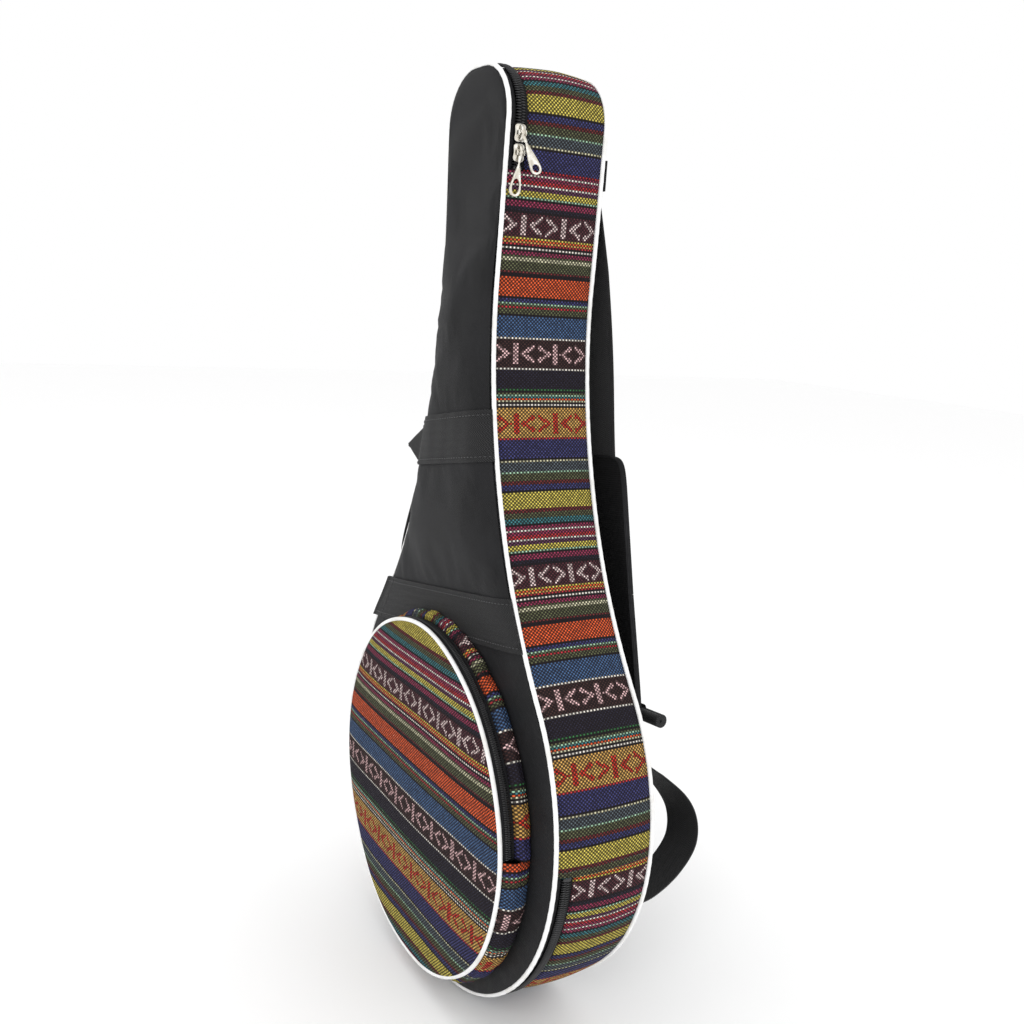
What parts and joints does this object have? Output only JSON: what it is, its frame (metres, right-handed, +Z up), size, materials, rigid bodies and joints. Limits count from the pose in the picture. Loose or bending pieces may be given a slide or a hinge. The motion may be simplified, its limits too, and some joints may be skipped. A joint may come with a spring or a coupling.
{
  "type": "charango gig bag",
  "caption": "Padded soft gig bag for a small round-bodied lute: folding zipped lid, striped woven sides, white piping, round front pocket, side handle and shoulder straps.",
  "frame": {"origin": "bottom centre of the bag's bounding box, where its round end touches the plane z = 0", "axes": "+Z up along the bag to its head end, -Y is the front with the pocket, +X is the hinge side"},
  "size_m": [0.3502, 0.1899, 0.7244],
  "materials": {
    "black_nylon": "coarse woven nylon, dull sheen",
    "striped_cloth": "thick woven striped cotton, matt",
    "white_piping": "smooth vinyl piping",
    "foam": "open-cell foam",
    "lining": "plain polyester lining",
    "zip_tape": "woven zip tape",
    "zip_coil": "nylon coil",
    "nickel": "worn nickel plate",
    "webbing": "twill webbing",
    "strap_mesh": "padded strap cloth",
    "black_plastic": "moulded acetal"
  },
  "bodies": {
    "shell": {"back_panel": "black_nylon", "back_foam": "foam", "back_lining": "lining", "rear_piping": "white_piping", "hinge_side_gusset": "striped_cloth", "zip_side_gusset": "striped_cloth", "hinge_side_foam": "foam", "zip_side_foam": "foam", "gusset_lining": "lining", "neck_panel": "black_nylon", "neck_foam": "foam", "neck_lining": "lining", "neck_piping": "white_piping", "zip_tape_shell": "zip_tape", "zip_coil_shell": "zip_coil", "zip_tape_head": "zip_tape", "zip_coil_head": "zip_coil", "zip_stops": "zip_coil", "strap_anchor_patch": "webbing", "right_strap_tab": "webbing", "left_strap_tab": "webbing", "right_tail": "webbing", "left_tail": "webbing"},
    "lid": {"lid_panel": "black_nylon", "lid_foam": "foam", "lid_lining": "lining", "lid_piping": "white_piping", "zip_tape_lid": "zip_tape", "zip_coil_lid": "zip_coil", "upper_band": "webbing", "lower_band": "webbing", "pocket_gusset": "striped_cloth", "pocket_front_lower": "striped_cloth", "pocket_piping_lower": "white_piping", "pocket_tape_base": "zip_tape", "pocket_coil_base": "zip_coil", "pocket_tab": "webbing"},
    "pocket_flap": {"pocket_front_flap": "striped_cloth", "pocket_piping_flap": "white_piping", "pocket_tape_flap": "zip_tape", "pocket_coil_flap": "zip_coil"},
    "pocket_slider": {"pocket_slider": "nickel"},
    "pocket_pull": {"pocket_pull": "nickel"},
    "upper_slider": {"upper_slider": "nickel"},
    "upper_pull": {"upper_pull": "nickel"},
    "lower_slider": {"lower_slider": "nickel"},
    "lower_pull": {"lower_pull": "nickel"},
    "handle": {"carry_handle": "webbing"},
    "right_strap": {"right_strap_web": "webbing", "right_strap_pad": "strap_mesh", "right_buckle": "black_plastic", "right_webbing_roll": "webbing"},
    "left_strap": {"left_strap_web": "webbing", "left_strap_pad": "strap_mesh", "left_buckle": "black_plastic", "left_webbing_roll": "webbing"}
  },
  "joints": [
    {"name": "lid_fold", "type": "hinge", "parent": "shell", "child": "lid", "pos_m": [0.17297, -0.07055, 0.1722], "axis": [-0.4215, 0, 0.9068], "range_deg": [0, 115]},
    {"name": "pocket_fold", "type": "hinge", "parent": "lid", "child": "pocket_flap", "pos_m": [0, -0.09495, 0.17358], "axis": [1, 0, 0], "range_deg": [0, 100]},
    {"name": "pocket_zip_travel", "type": "hinge", "parent": "lid", "child": "pocket_slider", "pos_m": [0, -0.08585, 0.1612], "axis": [0, 1, 0], "range_deg": [0, 156]},
    {"name": "pocket_pull_swing", "type": "hinge", "parent": "pocket_slider", "child": "pocket_pull", "pos_m": [-0.14408, -0.08585, 0.19182], "axis": [0, 1, 0], "range_deg": [0, 140]},
    {"name": "upper_slider_travel", "type": "slide", "parent": "shell", "child": "upper_slider", "axis": [0.0335, 0, 0.9994], "range_m": [0, 0.004]},
    {"name": "upper_pull_swing", "type": "hinge", "parent": "upper_slider", "child": "upper_pull", "pos_m": [0.04894, -0.05755, 0.67328], "axis": [0, -1, 0], "range_deg": [0, 130]},
    {"name": "lower_slider_travel", "type": "slide", "parent": "shell", "child": "lower_slider", "axis": [0.0335, 0, 0.9994], "range_m": [-0.0025, 0]},
    {"name": "lower_pull_swing", "type": "hinge", "parent": "lower_slider", "child": "lower_pull", "pos_m": [0.04849, -0.05755, 0.66008], "axis": [0, -1, 0], "range_deg": [0, 120]},
    {"name": "handle_swing", "type": "hinge", "parent": "lid", "child": "handle", "pos_m": [-0.06304, -0.06865, 0.44451], "axis": [0.4267, 0, 0.9044], "range_deg": [0, 90]},
    {"name": "right_strap_swing", "type": "hinge", "parent": "shell", "child": "right_strap", "pos_m": [0.02, 0.01695, 0.6422], "axis": [1, 0, 0], "range_deg": [0, 12], "deforming": ["right_tail"]},
    {"name": "left_strap_swing", "type": "hinge", "parent": "shell", "child": "left_strap", "pos_m": [-0.02, 0.01695, 0.6422], "axis": [1, 0, 0], "range_deg": [0, 12], "deforming": ["left_tail"]}
  ]
}
